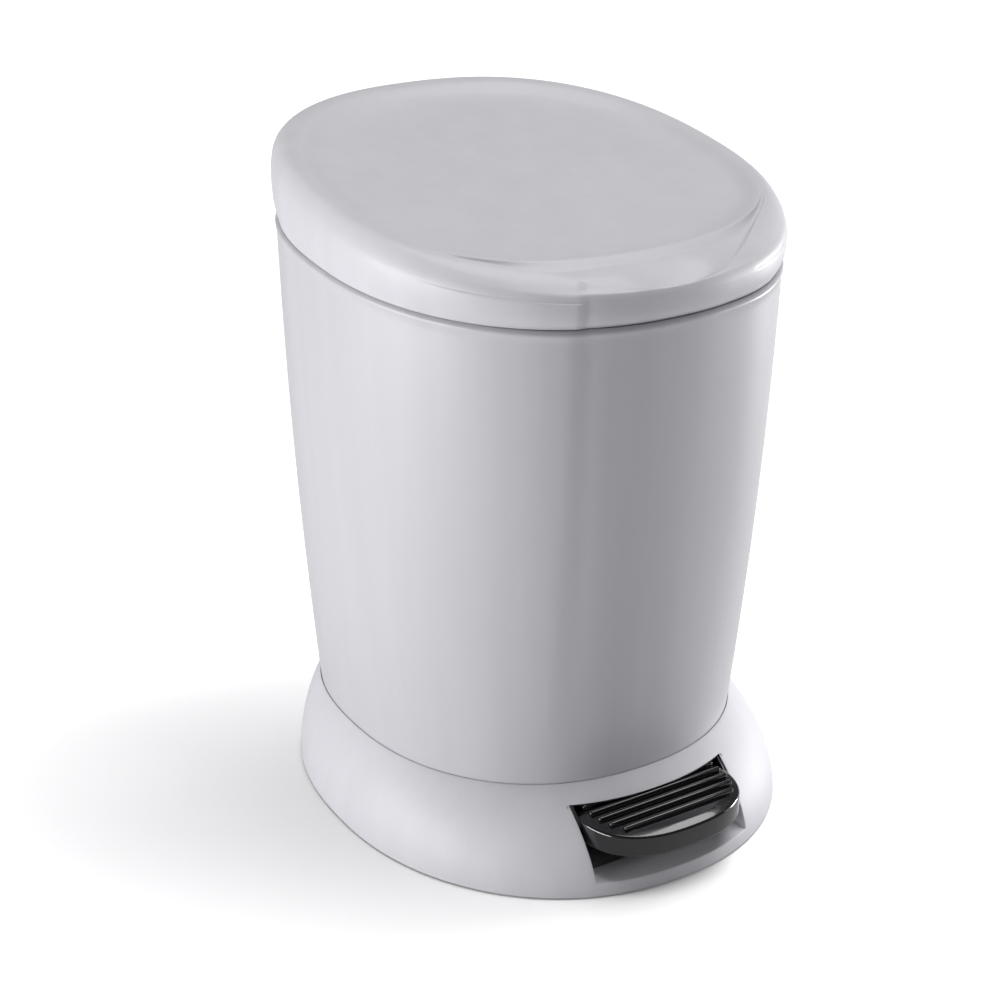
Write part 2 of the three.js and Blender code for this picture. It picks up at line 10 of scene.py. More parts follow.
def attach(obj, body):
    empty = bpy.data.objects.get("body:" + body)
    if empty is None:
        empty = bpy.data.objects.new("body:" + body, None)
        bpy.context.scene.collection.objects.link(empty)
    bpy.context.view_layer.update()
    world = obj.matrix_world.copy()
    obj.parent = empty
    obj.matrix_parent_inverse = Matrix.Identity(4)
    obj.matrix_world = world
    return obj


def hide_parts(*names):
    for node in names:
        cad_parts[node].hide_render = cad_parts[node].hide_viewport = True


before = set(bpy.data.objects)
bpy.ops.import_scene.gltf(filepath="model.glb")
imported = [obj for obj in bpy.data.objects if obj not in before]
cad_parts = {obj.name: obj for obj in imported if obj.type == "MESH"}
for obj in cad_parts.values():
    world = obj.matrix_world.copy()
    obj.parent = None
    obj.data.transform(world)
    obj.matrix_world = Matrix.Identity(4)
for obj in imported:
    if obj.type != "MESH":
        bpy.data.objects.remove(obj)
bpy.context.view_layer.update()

MM = 0.001

# ---- Shape of the bin ---------------------------------------------------------------------------
# Plan of the bin at four levels. middle is its widest line, front and back are the depths from it,
# and square_front and square_back are the oval's exponents (2 is an ellipse).
FLOOR_LINE = dict(half=115.4, front=129.4, back=136.5, middle=-2.4, square_front=2.11, square_back=2.3)
SEAM_LINE = dict(half=99.2, front=108.9, back=109.2, middle=11.5, square_front=2.2, square_back=2.39)
MOUTH_LINE = dict(half=112, front=121.9, back=124.8, middle=5.6, square_front=2.2, square_back=2.39)
RIM_LINE = dict(half=103.7, front=85.1, back=120.3, middle=-4.2, square_front=2.38, square_back=2.38)
SEAM_Z, MOUTH_Z, RIM_Z = 45.2, 287.1, 317.9
MOUTH_SLOPE, RIM_SLOPE = 0.08, 0.164
WALL, SKIRT_WALL, DISH_DEPTH = 2.2, 2.5, 4.2
BODY_SWELL, SKIRT_SPREAD = 8.8, 15.6
PANEL_HALF, PANEL_SET_BACK = 46, 1.7
WINDOW = dict(half=44.4, sill=7.5, top=38.3, sill_back=-110.6)
PAD = dict(half=43.1, under=22.4, top=35.6, back=-97, round=-104, front=-138.8, square=2.45)
HINGE = dict(y=134.8, z=294)
BAIL = dict(y=5.6, z=267, half=100, reach=91, radius=1.9, square=3.2)


def mix(a, b, t):
    return a + (b - a) * t


def held(value, low=0.0, high=1.0):
    return min(max(value, low), high)


def eased(t):
    t = held(t)
    return t * t * (3 - 2 * t)


def mixed_line(a, b, t):
    return {key: mix(a[key], b[key], t) for key in a}


def on_oval(line, turn, radius):
    """The place in plan of a point turned this far from the front, on an oval of this half-width."""
    side, ahead = math.sin(turn), math.cos(turn)
    power = 2 / (line["square_front"] if ahead > 0 else line["square_back"])
    depth = (line["front"] if ahead > 0 else line["back"]) / line["half"]
    x = radius * math.copysign(abs(side) ** power, side)
    y = line["middle"] - radius * depth * math.copysign(abs(ahead) ** power, ahead)
    return x, y


def body_half(z):
    """The body's half-width at this height: a taper with a slight swell."""
    t = (z - SEAM_Z) / (MOUTH_Z - SEAM_Z)
    return mix(SEAM_LINE["half"], MOUTH_LINE["half"], t) + BODY_SWELL * t * (1 - t)


def body_point(turn, radius, z, slope=MOUTH_SLOPE):
    """A point of the body, with the front panel set back and the height sloped towards the mouth."""
    t = (z - SEAM_Z) / (MOUTH_Z - SEAM_Z)
    x, y = on_oval(mixed_line(SEAM_LINE, MOUTH_LINE, t), turn, radius)
    t = max(t, 0)
    if y < 0:
        panel = eased((52 - abs(x)) / 12) if x < 0 else eased((60 - x) / 34)
        y += PANEL_SET_BACK * panel * t * min(radius / 90, 1)
    return x, y, z + slope * t * (y - MOUTH_LINE["middle"])


def skirt_half(z):
    """The skirt's half-width at this height."""
    return FLOOR_LINE["half"] - SKIRT_SPREAD * (z / SEAM_Z) ** 2


def skirt_point(turn, radius, z):
    """A point of the skirt, whose plan goes from the floor's to the seam's."""
    x, y = on_oval(mixed_line(FLOOR_LINE, SEAM_LINE, held(z / SEAM_Z) ** 2), turn, radius)
    return x, y, z


# ---- Mesh tools ---------------------------------------------------------------------------------
def even_turns(count):
    return [2 * math.pi * i / count for i in range(count)]


def panel_turns():
    """Columns for the lid: close together along the two upright creases of the front panel."""
    half = [math.radians(mix(0, 18.8, i / 15)) for i in range(15)]
    half += [math.radians(mix(18.8, 24.4, i / 28)) for i in range(28)]
    half += [math.radians(mix(24.4, 180, i / 118)) for i in range(118)]
    return half + [math.pi] + [2 * math.pi - turn for turn in reversed(half[1:])]


def turned(profile, turns, point, closed=False):
    """Spins a chain of (radius, height) rows, then sets each vertex by point(turn, row)."""
    bm = bmesh.new()
    row = bm.verts.layers.int.new("row")
    chain = [bm.verts.new((0, -radius, z)) for radius, z in profile]
    for i, vert in enumerate(chain):
        vert[row] = i
    pairs = list(zip(chain, chain[1:])) + ([(chain[-1], chain[0])] if closed else [])
    edges = [bm.edges.new(pair) for pair in pairs]
    bmesh.ops.spin(
        bm, geom=chain + edges, cent=(0, 0, 0), axis=(0, 0, 1), dvec=(0, 0, 0),
        angle=2 * math.pi, steps=len(turns), use_merge=True,
    )
    bmesh.ops.remove_doubles(bm, verts=bm.verts, dist=1e-3)
    for vert in bm.verts:
        place = math.atan2(vert.co.x, -vert.co.y) / (2 * math.pi) * len(turns)
        vert.co = point(turns[round(place) % len(turns)], vert[row])
    bm.verts.layers.int.remove(row)
    bmesh.ops.recalc_face_normals(bm, faces=bm.faces)
    return bm


def moved(bm, grown, shift):
    """Shifts the vertices of what an extrusion has grown."""
    bmesh.ops.translate(bm, vec=shift, verts=[v for v in grown if isinstance(v, bmesh.types.BMVert)])


def with_bounds(faces):
    """These faces with their edges and vertices, as a cut wants them."""
    return faces + list({e for f in faces for e in f.edges}) + list({v for f in faces for v in f.verts})


def edges_over(bm, degrees):
    """The edges whose two faces meet at more than this angle."""
    limit = math.radians(degrees)
    return [e for e in bm.edges if len(e.link_faces) == 2 and e.calc_face_angle(0) > limit]


def rounded(bm, edges, width, segments):
    """Bevels these edges to a round profile."""
    bmesh.ops.bevel(
        bm, geom=edges, offset=width, offset_type="OFFSET", segments=segments, profile=0.5,
        affect="EDGES", clamp_overlap=True, material=-1,
    )


def block(x, y, z, width, segments):
    """A box between two places on each axis, with rounded edges."""
    bm = bmesh.new()
    bmesh.ops.create_cube(bm, size=1)
    bmesh.ops.scale(bm, vec=(x[1] - x[0], y[1] - y[0], z[1] - z[0]), verts=bm.verts)
    bmesh.ops.translate(bm, vec=(sum(x) / 2, sum(y) / 2, sum(z) / 2), verts=bm.verts)
    rounded(bm, bm.edges[:], width, segments)
    return bm


def plate(outline, x, width=0.0):
    """A side outline (y, z) made as wide as the range of x."""
    bm = bmesh.new()
    face = bm.faces.new([bm.verts.new((x[0], y, z)) for y, z in outline])
    grown = bmesh.ops.extrude_face_region(bm, geom=[face])["geom"]
    moved(bm, grown, (x[1] - x[0], 0, 0))
    bmesh.ops.recalc_face_normals(bm, faces=bm.faces)
    if width:
        rounded(bm, edges_over(bm, 30), width, 2)
    return bm


def round_bar(profile, start, along, sides=40):
    """Spins (radius, distance) rows about a line that leaves start in the direction along."""
    bm = bmesh.new()
    chain = [bm.verts.new((radius, 0, reach)) for radius, reach in profile]
    edges = [bm.edges.new(pair) for pair in zip(chain, chain[1:])]
    bmesh.ops.spin(
        bm, geom=chain + edges, cent=(0, 0, 0), axis=(0, 0, 1), dvec=(0, 0, 0),
        angle=2 * math.pi, steps=sides, use_merge=True,
    )
    bmesh.ops.remove_doubles(bm, verts=bm.verts, dist=1e-4)
    bmesh.ops.recalc_face_normals(bm, faces=bm.faces)
    aim = Vector((0, 0, 1)).rotation_difference(Vector(along)).to_matrix().to_4x4()
    bmesh.ops.transform(bm, matrix=Matrix.Translation(start) @ aim, verts=bm.verts)
    return bm


def joined(*parts):
    """Several shapes as one mesh."""
    whole = bmesh.new()
    for bm in parts:
        mesh = bpy.data.meshes.new("shape")
        bm.to_mesh(mesh)
        bm.free()
        whole.from_mesh(mesh)
        bpy.data.meshes.remove(mesh)
    return whole


def part(name, bm, material, body, slot, stands_for=(), sharp=35):
    """Brings a shape to metres as a finished piece that rides on a body of the frame."""
    bmesh.ops.scale(bm, vec=(MM, MM, MM), verts=bm.verts)
    for edge in edges_over(bm, sharp):
        edge.smooth = False
    for face in bm.faces:
        face.smooth = True
    mesh = bpy.data.meshes.new(name)
    bm.to_mesh(mesh)
    bm.free()
    mesh.materials.append(material)
    piece = bpy.data.objects.new(name, mesh)
    bpy.context.scene.collection.objects.link(piece)
    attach(piece, body)
    if stands_for:
        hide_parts(*stands_for)
    return piece


def softened(node, material, body, slot, width):
    """A carried-over part with its edges broken, in the same place."""
    bm = bmesh.new()
    bm.from_mesh(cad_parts[node].data)
    bmesh.ops.scale(bm, vec=(1 / MM, 1 / MM, 1 / MM), verts=bm.verts)
    bmesh.ops.remove_doubles(bm, verts=bm.verts, dist=0.004)
    bmesh.ops.dissolve_limit(bm, angle_limit=math.radians(1), verts=bm.verts, edges=bm.edges)
    rounded(bm, edges_over(bm, 35), width, 2)
    return part(node + "_piece", bm, material, body, slot, [node])


# ---- Finishes -----------------------------------------------------------------------------------
class Shade:
    """One output of a material's nodes. Arithmetic on it adds Math nodes."""

    def __init__(self, tree, socket):
        self.tree, self.socket = tree, socket

    def node(self, kind, settings=None, inputs=None, output=0):
        made = self.tree.nodes.new(kind)
        for name, value in (settings or {}).items():
            setattr(made, name, value)
        for name, value in (inputs or {}).items():
            self.feed(made.inputs[name], value)
        return Shade(self.tree, made.outputs[output])

    def feed(self, socket, value):
        if isinstance(value, Shade):
            self.tree.links.new(value.socket, socket)
        else:
            socket.default_value = value

    def sum(self, operation, first, second):
        return self.node("ShaderNodeMath", {"operation": operation}, {0: first, 1: second})

    def __add__(self, other):
        return self.sum("ADD", self, other)

    def __mul__(self, other):
        return self.sum("MULTIPLY", self, other)

    __radd__ = __add__
    __rmul__ = __mul__

    def band(self, low, high, to_low=0.0, to_high=1.0):
        settings = {"clamp": True, "interpolation_type": "SMOOTHSTEP"}
        inputs = {"Value": self, "From Min": low, "From Max": high, "To Min": to_low, "To Max": to_high}
        return self.node("ShaderNodeMapRange", settings, inputs)

    def stretched(self, x, y, z):
        return self.node("ShaderNodeMapping", inputs={"Vector": self, "Scale": (x, y, z)})

    def noise(self, scale, detail=2.0, roughness=0.5):
        inputs = {"Vector": self, "Scale": scale, "Detail": detail, "Roughness": roughness}
        return self.node("ShaderNodeTexNoise", inputs=inputs)

    def between(self, dark, light):
        """This share of the way from one colour to another."""
        inputs = {0: self, 6: (*dark, 1), 7: (*light, 1)}
        return self.node("ShaderNodeMix", {"data_type": "RGBA"}, inputs, output=2)


class Finish:
    """A material with its Principled shader and the place on the piece that patterns read."""

    def __init__(self, name, **fixed):
        self.material = bpy.data.materials.new(name)
        self.material.use_nodes = True
        tree = self.material.node_tree
        self.shader = tree.nodes["Principled BSDF"]
        self.place = Shade(tree, tree.nodes.new("ShaderNodeTexCoord").outputs["Object"])
        for socket, value in fixed.items():
            self.set(socket.replace("_", " "), value)

    def set(self, socket, value):
        self.place.feed(self.shader.inputs[socket], value)

    def bump(self, height, strength, distance):
        inputs = {"Height": height, "Strength": strength, "Distance": distance}
        self.set("Normal", self.place.node("ShaderNodeBump", inputs=inputs))


def pearl_plastic(name, shade, coat, rough):
    """Pearl-pigmented moulded plastic: faint upright flow streaks, mica grain and a satin gloss."""
    finish = Finish(name, Coat_Weight=coat, Coat_Roughness=0.16)
    place = finish.place
    streak = place.stretched(70, 70, 1.6).noise(1.0, 3.0, 0.55)
    cloud = place.noise(5.0, 2.0, 0.5)
    mica = place.noise(2600.0, 1.0, 0.6)
    tone = (streak * 0.45 + cloud * 0.25 + mica * 0.3).band(0.3, 0.7)
    dark, light = [tuple(shade * tint * part for tint in (0.985, 0.975, 1.035)) for part in (0.965, 1.035)]
    finish.set("Base Color", tone.between(dark, light))
    finish.set("Roughness", (cloud * 0.3 + mica * 0.7).band(0.25, 0.75, rough - 0.05, rough + 0.05))
    peel = place.noise(420.0, 2.0, 0.5)
    finish.bump(peel * 0.7 + mica * 0.3, 0.05, 0.0003)
    return finish.material


def pedal_black():
    """Glossy black moulded plastic with fine scuffs from shoes."""
    finish = Finish("pedal_black", Coat_Weight=0.6, Coat_Roughness=0.05)
    place = finish.place
    cloud = place.noise(60.0, 3.0, 0.55)
    scuff = place.stretched(150, 900, 400).noise(1.0, 3.0, 0.6).band(0.56, 0.7)
    dark, light = (0.003, 0.0032, 0.004), (0.01, 0.0105, 0.0125)
    finish.set("Base Color", (scuff * 0.4 + cloud * 0.2).between(dark, light))
    finish.set("Roughness", cloud.band(0.3, 0.7, 0.15, 0.21) + scuff * 0.1)
    finish.bump(place.noise(700.0, 2.0, 0.5) * 0.8 + scuff * 0.2, 0.04, 0.0002)
    return finish.material


def grained_plastic(name, dark, light, rough, grain=1500.0):
    """Moulded plastic with a fine spark-eroded grain and slight shade changes."""
    finish = Finish(name)
    place = finish.place
    cloud = place.noise(32.0, 3.0, 0.5)
    fine = place.noise(grain, 2.0, 0.6)
    finish.set("Base Color", (cloud * 0.65 + fine * 0.35).band(0.3, 0.7).between(dark, light))
    finish.set("Roughness", (cloud * 0.5 + fine * 0.5).band(0.3, 0.7, rough - 0.07, rough + 0.08))
    finish.bump(fine, 0.22, 0.0003)
    return finish.material


def foot_rubber():
    """Matt black rubber with a dusty bloom."""
    finish = Finish("foot_rubber")
    place = finish.place
    bloom = place.noise(260.0, 4.0, 0.6)
    finish.set("Base Color", bloom.band(0.4, 0.75).between((0.012, 0.012, 0.013), (0.045, 0.044, 0.043)))
    finish.set("Roughness", bloom.band(0.3, 0.7, 0.68, 0.88))
    finish.bump(place.noise(1800.0, 2.0, 0.6), 0.3, 0.0003)
    return finish.material


def plated_steel(name, x, y, z):
    """Zinc-plated steel with drawing lines along the piece and faint dull patches."""
    finish = Finish(name, Metallic=1.0)
    place = finish.place
    lines = place.stretched(x, y, z).noise(1.0, 3.0, 0.6)
    patch = place.noise(110.0, 3.0, 0.6)
    dark, light = (0.46, 0.465, 0.475), (0.66, 0.665, 0.67)
    finish.set("Base Color", (lines * 0.5 + patch * 0.5).band(0.3, 0.7).between(dark, light))
    finish.set("Roughness", (lines * 0.6 + patch * 0.4).band(0.3, 0.7, 0.2, 0.36))
    finish.bump(lines, 0.15, 0.0002)
    return finish.material


BODY_PEARL = pearl_plastic("body_pearl", 0.5, 0.12, 0.42)
LID_PEARL = pearl_plastic("lid_pearl", 0.54, 0.1, 0.52)
BASE_PEARL = pearl_plastic("base_pearl", 0.56, 0.0, 0.55)
BLACK = pedal_black()
RECESS_BLACK = grained_plastic("recess_black", (0.006, 0.006, 0.007), (0.016, 0.016, 0.017), 0.5)
ROD_BLACK = grained_plastic("rod_black", (0.012, 0.012, 0.013), (0.03, 0.03, 0.032), 0.42)
FRAME_GREY = grained_plastic("frame_grey", (0.16, 0.163, 0.172), (0.215, 0.218, 0.228), 0.48)
PAIL_GREY = grained_plastic("pail_grey", (0.2, 0.204, 0.214), (0.262, 0.266, 0.278), 0.4, 1100.0)
RUBBER = foot_rubber()
WIRE_STEEL = plated_steel("wire_steel", 60, 60, 900)
LEVER_STEEL = plated_steel("lever_steel", 1300, 30, 1300)
ROD_STEEL = plated_steel("rod_steel", 1300, 1300, 30)
SCREW_STEEL = plated_steel("screw_steel", 500, 500, 500)


# ---- Body ---------------------------------------------------------------------------------------
BODY_FLOOR_TOP = 48.2
MOUTH_BEAD = [
    (0.05, 282.6), (0.3, 283.6), (0.48, 284.4), (0.53, 285), (0.43, 285.5),
    (0.18, 285.95), (-0.2, 286.4), (-0.6, 286.8), (-0.95, 287.04), (-1.3, 287.1),
]
ROD_SLOT = dict(half=7, front=106.5, back=117.7)


def body_shell():
    """The tapered shell: up the outside, over the bead at the mouth, and down the inside to the floor."""
    rows = [(0, 45), (40, 45), (80, 45), (body_half(45) - WALL, 45), (body_half(42) - WALL, 42)]
    rows += [(body_half(42) - 0.3, 42), (body_half(42.3), 42.3)]
    for z in [44, 46, 48.5] + list(range(52, 284, 6)):
        rows.append((body_half(z), z))
    for out, z in MOUTH_BEAD:
        rows.append((body_half(z) + out, z))
    rows += [(body_half(287) - WALL + 0.4, 287.1), (body_half(286.5) - WALL, 286.7)]
    for z in list(range(278, 60, -12)) + [54]:
        rows.append((body_half(z) - WALL, z))
    rows += [(body_half(49) - WALL, 49), (body_half(BODY_FLOOR_TOP) - WALL - 0.4, BODY_FLOOR_TOP)]
    rows += [(radius, BODY_FLOOR_TOP) for radius in (80, 40, 0)]
    bm = turned(rows, even_turns(288), lambda turn, row: body_point(turn, *rows[row]))
    cut_rod_slot(bm)
    return bm


def is_floor(face):
    """On the upper or lower face of the body's floor, near the back."""
    centre = face.calc_center_median()
    return centre.z < 48.9 and centre.y > 60 and abs(centre.x) < 40 and abs(face.normal.z) > 0.9


def cut_rod_slot(bm):
    """The slot in the floor that the lift rod passes through."""
    half, front, back = ROD_SLOT["half"], ROD_SLOT["front"], ROD_SLOT["back"]
    cuts = [((-half, 0, 0), (1, 0, 0)), ((half, 0, 0), (1, 0, 0))]
    cuts += [((0, front, 0), (0, 1, 0)), ((0, back, 0), (0, 1, 0))]
    for co, no in cuts:
        near = [f for f in bm.faces if is_floor(f)]
        bmesh.ops.bisect_plane(bm, geom=with_bounds(near), plane_co=co, plane_no=no, dist=1e-4)
    hole = []
    for face in bm.faces:
        centre = face.calc_center_median()
        if is_floor(face) and abs(centre.x) < half and front < centre.y < back:
            hole.append(face)
    bmesh.ops.delete(bm, geom=hole, context="FACES")
    bmesh.ops.bridge_loops(bm, edges=[e for e in bm.edges if e.is_boundary])
    bmesh.ops.recalc_face_normals(bm, faces=bm.faces)


# ---- Base skirt ---------------------------------------------------------------------------------
def base_skirt():
    """The domed skirt, with its collar round the body and the pedal window cut through its front."""
    window_heights = [WINDOW["sill"], 9.5] + list(range(12, 37, 3)) + [WINDOW["top"]]
    heights = [1.1, 1.9, 3, 4.6, 6] + window_heights + [41, 42.5, 43.8, 44.7]
    rows = [(skirt_half(0.8) - 0.7, 0.8), (skirt_half(0.85) - 0.3, 0.88)]
    rows += [(skirt_half(z), z) for z in heights]
    rows += [(skirt_half(45.1) - 0.05, 45.1)]
    collar = len(rows)
    rows += [(99.53, 45.2), (99.5, 44.9), (99.2, 41)]
    inner = len(rows)
    rows += [(skirt_half(z) - SKIRT_WALL, z) for z in window_heights[::-1] + [6, 3, 1.2]]
    rows += [(skirt_half(0.8) - SKIRT_WALL + 0.4, 0.8)]

    def point(turn, row):
        radius, z = rows[row]
        if collar <= row < inner:
            return body_point(turn, radius, z, 0)
        return skirt_point(turn, radius, z)

    bm = turned(rows, even_turns(288), point, closed=True)
    for side in [-1, 1]:
        near = [f for f in bm.faces if f.calc_center_median().y < -60 and abs(f.calc_center_median().x) < 60]
        edge = (side * WINDOW["half"], 0, 0)
        bmesh.ops.bisect_plane(bm, geom=with_bounds(near), plane_co=edge, plane_no=(1, 0, 0), dist=0.02)
    hole = []
    for face in bm.faces:
        centre = face.calc_center_median()
        if centre.y < -60 and abs(centre.x) < WINDOW["half"] and WINDOW["sill"] < centre.z < WINDOW["top"]:
            hole.append(face)
    bmesh.ops.delete(bm, geom=hole, context="FACES")
    bmesh.ops.bridge_loops(bm, edges=[e for e in bm.edges if e.is_boundary])
    bmesh.ops.recalc_face_normals(bm, faces=bm.faces)
    outer = [e for e in edges_over(bm, 40) if is_window_edge(e)]
    rounded(bm, outer, 0.7, 3)
    return bm


def is_window_edge(edge):
    """On the outer rim of the pedal window."""
    a, b = edge.verts[0].co, edge.verts[1].co
    x, z = WINDOW["half"], (WINDOW["sill"], WINDOW["top"])
    upright = abs(abs(a.x) - x) < 0.1 and abs(abs(b.x) - x) < 0.1 and a.x * b.x > 0
    level = any(abs(a.z - h) < 0.1 and abs(b.z - h) < 0.1 for h in z)
    inside = max(abs(a.x), abs(b.x)) < x + 0.1 and min(a.z, b.z) > z[0] - 0.1 and max(a.z, b.z) < z[1] + 0.1
    outer = all(co.y < skirt_front(co) + 0.6 for co in (a, b))
    return (upright or level) and inside and outer and a.y < -60


def skirt_front(co):
    """The skirt's outer face, as a depth, at this width and height."""
    line = mixed_line(FLOOR_LINE, SEAM_LINE, held(co.z / SEAM_Z) ** 2)
    radius = skirt_half(co.z)
    square = line["square_front"]
    across = held(1 - (abs(co.x) / radius) ** square) ** (1 / square)
    return line["middle"] - radius * line["front"] / line["half"] * across


def window_sill():
    """The ledge behind the window's lower edge, let into the skirt's wall."""
    bm = bmesh.new()
    bmesh.ops.create_grid(bm, x_segments=44, y_segments=2, size=0.5)
    half = WINDOW["half"] + 0.6
    for vert in bm.verts:
        x = vert.co.x * 2 * half
        front = skirt_front(Vector((x, 0, WINDOW["sill"]))) + 1.6
        back = WINDOW["sill_back"]
        vert.co = (x, mix(front, back, vert.co.y + 0.5), WINDOW["sill"] - 0.02)
    grown = bmesh.ops.extrude_face_region(bm, geom=bm.faces[:])["geom"]
    moved(bm, grown, (0, 0, -2.7))
    bmesh.ops.recalc_face_normals(bm, faces=bm.faces)
    back_top = []
    for edge in edges_over(bm, 40):
        if all(abs(v.co.y - WINDOW["sill_back"]) < 0.01 and v.co.z > 7 for v in edge.verts):
            back_top.append(edge)
    rounded(bm, back_top, 0.5, 2)
    return bm


def window_cheek(side):
    """The light inner face beside the pedal, carrying the window's edge inwards."""
    x = side * (WINDOW["half"] - 0.04)
    heights = [6 + 2.3 * i for i in range(15)]
    outline = [(skirt_front(Vector((x, 0, z))) + 1.9, z) for z in heights]
    outline += [(-99, heights[-1]), (-99, heights[0])]
    return plate(outline, sorted((x, side * (WINDOW["half"] + 1.3))))


LINING_FRONT = -107


def recess_lining():
    """The black lining of the pedal's recess, deep inside the window."""
    bm = bmesh.new()
    bm.from_mesh(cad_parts["recess_liner"].data)
    bmesh.ops.scale(bm, vec=(1 / MM, 1 / MM, 1 / MM), verts=bm.verts)
    bmesh.ops.remove_doubles(bm, verts=bm.verts, dist=0.004)
    geom = bm.verts[:] + bm.edges[:] + bm.faces[:]
    bmesh.ops.bisect_plane(
        bm, geom=geom, plane_co=(0, LINING_FRONT, 0), plane_no=(0, 1, 0), clear_inner=True, dist=1e-3,
    )
    bmesh.ops.holes_fill(bm, edges=[e for e in bm.edges if e.is_boundary], sides=0)
    bmesh.ops.dissolve_limit(bm, angle_limit=math.radians(1), verts=bm.verts, edges=bm.edges)
    bmesh.ops.recalc_face_normals(bm, faces=bm.faces)
    return bm


# ---- Lid ----------------------------------------------------------------------------------------
WALL_TOP = 303
LID_SET_BACK, LID_SINK = 1.4, 0.9
# The scoop's lower edge: its drop at the front, the turn over which it fades, and where it ends.
SCOOP_DROP, SCOOP_SPREAD, SCOOP_END = 6.2, 18, 60
SCOOP_SINK = 1.9
# The fine step under the scoop, and how much of it is left on the right-hand side.
LEDGE_STEP, LEDGE_RIGHT = 0.4, 0.35
SHOULDER_PARTS = 400


def shoulder_rows(inset):
    """The lid's shoulder from the top of its wall to the rim, as (radius, height)."""
    wall = MOUTH_LINE["half"] - inset + 1.3
    rows = []
    for i in range(121):
        turn = math.pi / 2 * i / 120
        out = mix(RIM_LINE["half"], wall, math.cos(turn) ** 0.8)
        rows.append((out, mix(WALL_TOP, RIM_Z, math.sin(turn) ** 0.8) - inset))
    return rows


SHOULDER = shoulder_rows(0)


def along_shoulder(share):
    """A point this share of the way along the shoulder, from its wall to the rim."""
    lengths = [0.0]
    for (r0, z0), (r1, z1) in zip(SHOULDER, SHOULDER[1:]):
        lengths.append(lengths[-1] + math.hypot(2.4 * (r1 - r0), z1 - z0))
    want = share * lengths[-1]
    i = next(k for k, length in enumerate(lengths) if length >= want)
    if i == 0:
        return SHOULDER[0]
    t = (want - lengths[i - 1]) / (lengths[i] - lengths[i - 1])
    (r0, z0), (r1, z1) = SHOULDER[i - 1], SHOULDER[i]
    return mix(r0, r1, t), mix(z0, z1, t)


SHOULDER_STEPS = [along_shoulder(i / SHOULDER_PARTS) for i in range(SHOULDER_PARTS + 1)]


def shoulder_share(height):
    """How far along the shoulder it first reaches this height."""
    return next(i for i, (_, z) in enumerate(SHOULDER_STEPS) if z >= height) / SHOULDER_PARTS


def shoulder_step(share):
    """The point this share of the way along the shoulder, read between the steps."""
    place = held(share) * SHOULDER_PARTS
    i = min(int(place), SHOULDER_PARTS - 1)
    (r0, z0), (r1, z1) = SHOULDER_STEPS[i], SHOULDER_STEPS[i + 1]
    return mix(r0, r1, place - i), mix(z0, z1, place - i)


def scoop_share(turn):
    """How far along the shoulder the scoop's lower edge lies at this turn from the front."""
    degrees = math.degrees(min(turn, 2 * math.pi - turn))
    if degrees >= SCOOP_END:
        return 0.93
    return shoulder_share(RIM_Z - 0.04 - SCOOP_DROP * math.exp(-((degrees / SCOOP_SPREAD) ** 2)))


def on_lid(turn, radius, z, inset=0.0):
    """Wall, shoulder, rim and dish: the plan runs from the mouth's to the rim's across the shoulder."""
    inward = held((MOUTH_LINE["half"] - inset - radius) / (MOUTH_LINE["half"] - RIM_LINE["half"]))
    rise = held((z - MOUTH_Z) / (RIM_Z - DISH_DEPTH - MOUTH_Z))
    x, y = on_oval(mixed_line(MOUTH_LINE, RIM_LINE, inward), turn, radius)
    panel = 0.0
    if y < 0:
        crease, soft = 45.9 - 13 * inward, 6.8 if x < 0 else 30
        panel = eased((crease + soft / 2 - abs(x)) / soft)
        y += LID_SET_BACK * panel * (1 - inward)
    z += mix(MOUTH_SLOPE, RIM_SLOPE, rise) * (y - MOUTH_LINE["middle"])
    return x, y, z, panel, inward


WALL_ROWS = [
    (110.5, 287.22), (110.95, 287.22), (111.15, 287.32), (111.27, 287.6), (111.45, 288.6),
    (111.8, 290.2), (112.3, 292.4), (112.85, 295), (113.15, 298), (113.3, 301),
    (113.3, 303), (113.28, 305), (113.25, 306.3),
]
LEDGE_ROWS = [306.7, 306.9, 307.0, 307.12, 307.3, 307.7]
RISE_ROWS, FACE_ROWS = 18, 13
DISH_Z = 313.9
DISH_ROWS = [
    (103.2, 317.87), (102.6, 317.75), (101.9, 317.56), (101.0, 317.3), (99.8, 316.85), (98.4, 316.3),
    (96.8, 315.7), (95.0, 315.1), (93.0, 314.6), (90.6, 314.2), (87.5, 313.97),
] + [(radius, DISH_Z) for radius in (83, 74, 62, 48, 34, 20, 8, 0)]


